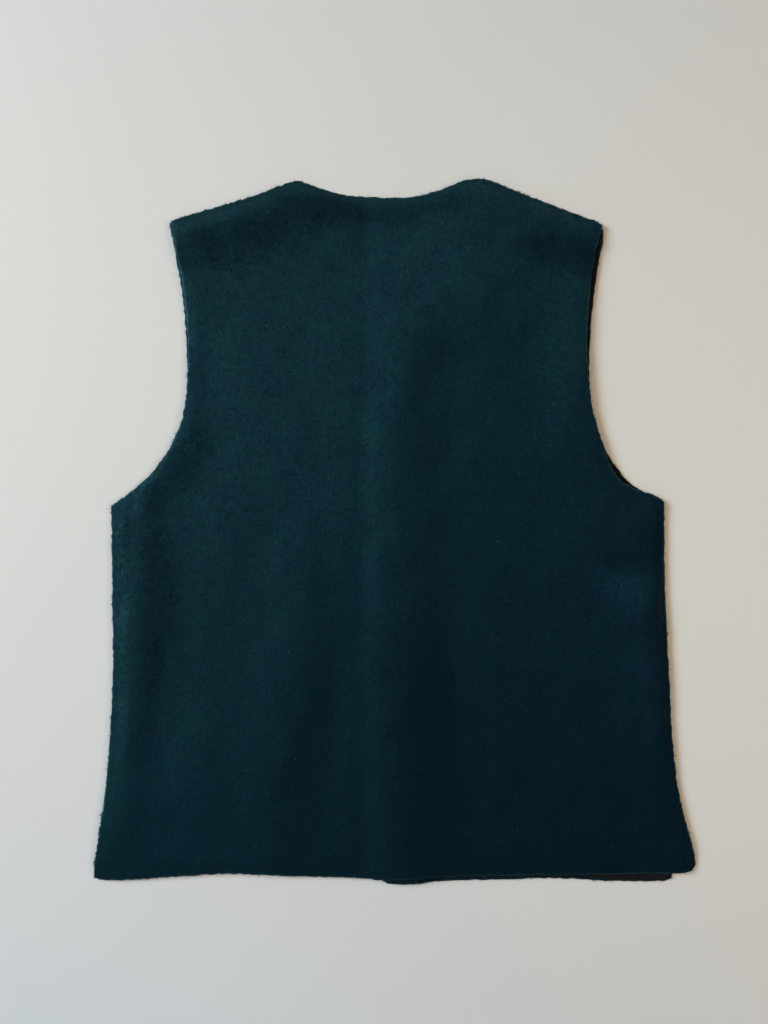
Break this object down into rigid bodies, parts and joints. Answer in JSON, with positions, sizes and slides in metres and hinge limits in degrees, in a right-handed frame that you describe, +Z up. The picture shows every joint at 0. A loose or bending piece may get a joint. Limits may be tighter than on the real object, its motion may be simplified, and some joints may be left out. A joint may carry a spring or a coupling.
{
  "type": "felted wool vest, laid flat",
  "caption": "Sleeveless vest of thick felted wool, laid flat with its back up: one plain back over two overlapping fronts, with side vents.",
  "frame": {"origin": "middle of the vest's outline, on the surface that it lies on", "axes": "+Z up from the surface, out of the back; +Y from the hem to the neck; +X towards the wearer's right"},
  "size_m": [0.5759, 0.6708, 0.0107],
  "materials": {
    "wool": "felted wool with a short matt nap, dark petrol teal",
    "lining": "plain woven lining, dark plum grey"
  },
  "bodies": {
    "root": {"back": "wool", "front_left": "wool", "front_right": "wool", "lining_right": "lining"}
  },
  "joints": []
}
